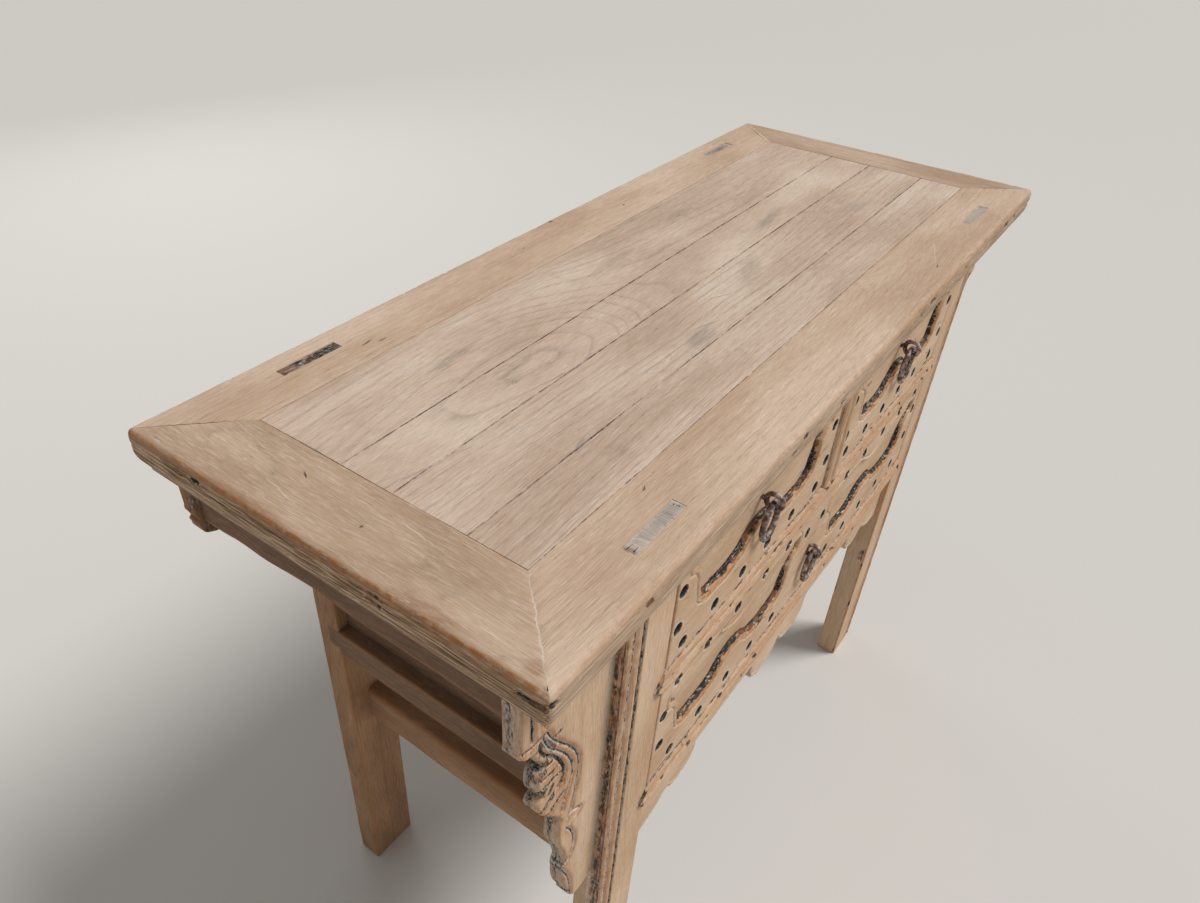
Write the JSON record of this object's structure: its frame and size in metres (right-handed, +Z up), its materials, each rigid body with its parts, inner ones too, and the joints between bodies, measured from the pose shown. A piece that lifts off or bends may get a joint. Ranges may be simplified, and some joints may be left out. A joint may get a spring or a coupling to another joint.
{
  "type": "altar table with drawers",
  "caption": "Altar coffer table with an overhanging mitred top, leaning legs, carved spandrels under the ends, an apron, and carved drawers with iron drop rings above an open base.",
  "frame": {"origin": "on the floor, under the middle of the top", "axes": "+X to the right along the front, +Y towards the back, +Z up; the drawers open towards -Y"},
  "size_m": [1.118, 0.454, 0.85],
  "materials": {
    "elm_top": "matt, bleached and worn elm boards with open cathedral grain",
    "elm_front": "matt, sanded elm with dark residue and lime in the recesses",
    "elm_frame": "matt, darker weathered elm of the ends and the back",
    "elm_inner": "matt, bare elm of runners, battens and drawer boxes",
    "wrought_iron": "dull, dark hammered iron with brown rust"
  },
  "bodies": {
    "carcass": {"top_board_1": "elm_top", "top_board_2": "elm_top", "top_board_3": "elm_top", "top_board_4": "elm_top", "top_front_stile": "elm_top", "top_rear_stile": "elm_top", "top_left_end": "elm_top", "top_right_end": "elm_top", "front_left_leg": "elm_front", "front_right_leg": "elm_front", "rear_left_leg": "elm_front", "rear_right_leg": "elm_front", "front_mid_rail": "elm_front", "front_bottom_rail": "elm_front", "drawer_divider": "elm_front", "front_apron": "elm_front", "front_left_spandrel": "elm_front", "front_right_spandrel": "elm_front", "rear_left_spandrel": "elm_front", "rear_right_spandrel": "elm_front", "left_side_panel": "elm_frame", "right_side_panel": "elm_frame", "left_side_rail": "elm_frame", "right_side_rail": "elm_frame", "left_stretcher": "elm_frame", "right_stretcher": "elm_frame", "left_closing_board": "elm_frame", "right_closing_board": "elm_frame", "back_panel": "elm_frame", "rear_mid_rail": "elm_frame", "rear_bottom_rail": "elm_frame", "centre_batten": "elm_inner", "left_batten": "elm_inner", "right_batten": "elm_inner", "lower_runner_left": "elm_inner", "lower_runner_right": "elm_inner", "upper_runner_left": "elm_inner", "upper_runner_centre": "elm_inner", "upper_runner_right": "elm_inner"},
    "left_drawer": {"left_drawer_front": "elm_front", "left_drawer_left_side": "elm_inner", "left_drawer_right_side": "elm_inner", "left_drawer_bottom": "elm_inner", "left_drawer_back": "elm_inner", "left_drawer_staple": "wrought_iron"},
    "right_drawer": {"right_drawer_front": "elm_front", "right_drawer_left_side": "elm_inner", "right_drawer_right_side": "elm_inner", "right_drawer_bottom": "elm_inner", "right_drawer_back": "elm_inner", "right_drawer_staple": "wrought_iron"},
    "lower_drawer": {"lower_drawer_front": "elm_front", "lower_drawer_left_side": "elm_inner", "lower_drawer_right_side": "elm_inner", "lower_drawer_bottom": "elm_inner", "lower_drawer_back": "elm_inner", "lower_drawer_staple": "wrought_iron"},
    "left_ring": {"left_drawer_ring": "wrought_iron"},
    "right_ring": {"right_drawer_ring": "wrought_iron"},
    "lower_ring": {"lower_drawer_ring": "wrought_iron"}
  },
  "joints": [
    {"name": "left_drawer_slide", "type": "slide", "parent": "carcass", "child": "left_drawer", "axis": [0, -1, 0], "range_m": [0, 0.3]},
    {"name": "right_drawer_slide", "type": "slide", "parent": "carcass", "child": "right_drawer", "axis": [0, -1, 0], "range_m": [0, 0.3]},
    {"name": "lower_drawer_slide", "type": "slide", "parent": "carcass", "child": "lower_drawer", "axis": [0, -1, 0], "range_m": [0, 0.3]},
    {"name": "left_ring_hinge", "type": "hinge", "parent": "left_drawer", "child": "left_ring", "pos_m": [-0.17721, -0.2095, 0.7471], "axis": [-1, 0, 0], "range_deg": [-4, 170]},
    {"name": "right_ring_hinge", "type": "hinge", "parent": "right_drawer", "child": "right_ring", "pos_m": [0.19921, -0.2095, 0.7471], "axis": [-1, 0, 0], "range_deg": [-4, 170]},
    {"name": "lower_ring_hinge", "type": "hinge", "parent": "lower_drawer", "child": "lower_ring", "pos_m": [0.011, -0.2095, 0.5431], "axis": [-1, 0, 0], "range_deg": [-4, 170]}
  ]
}
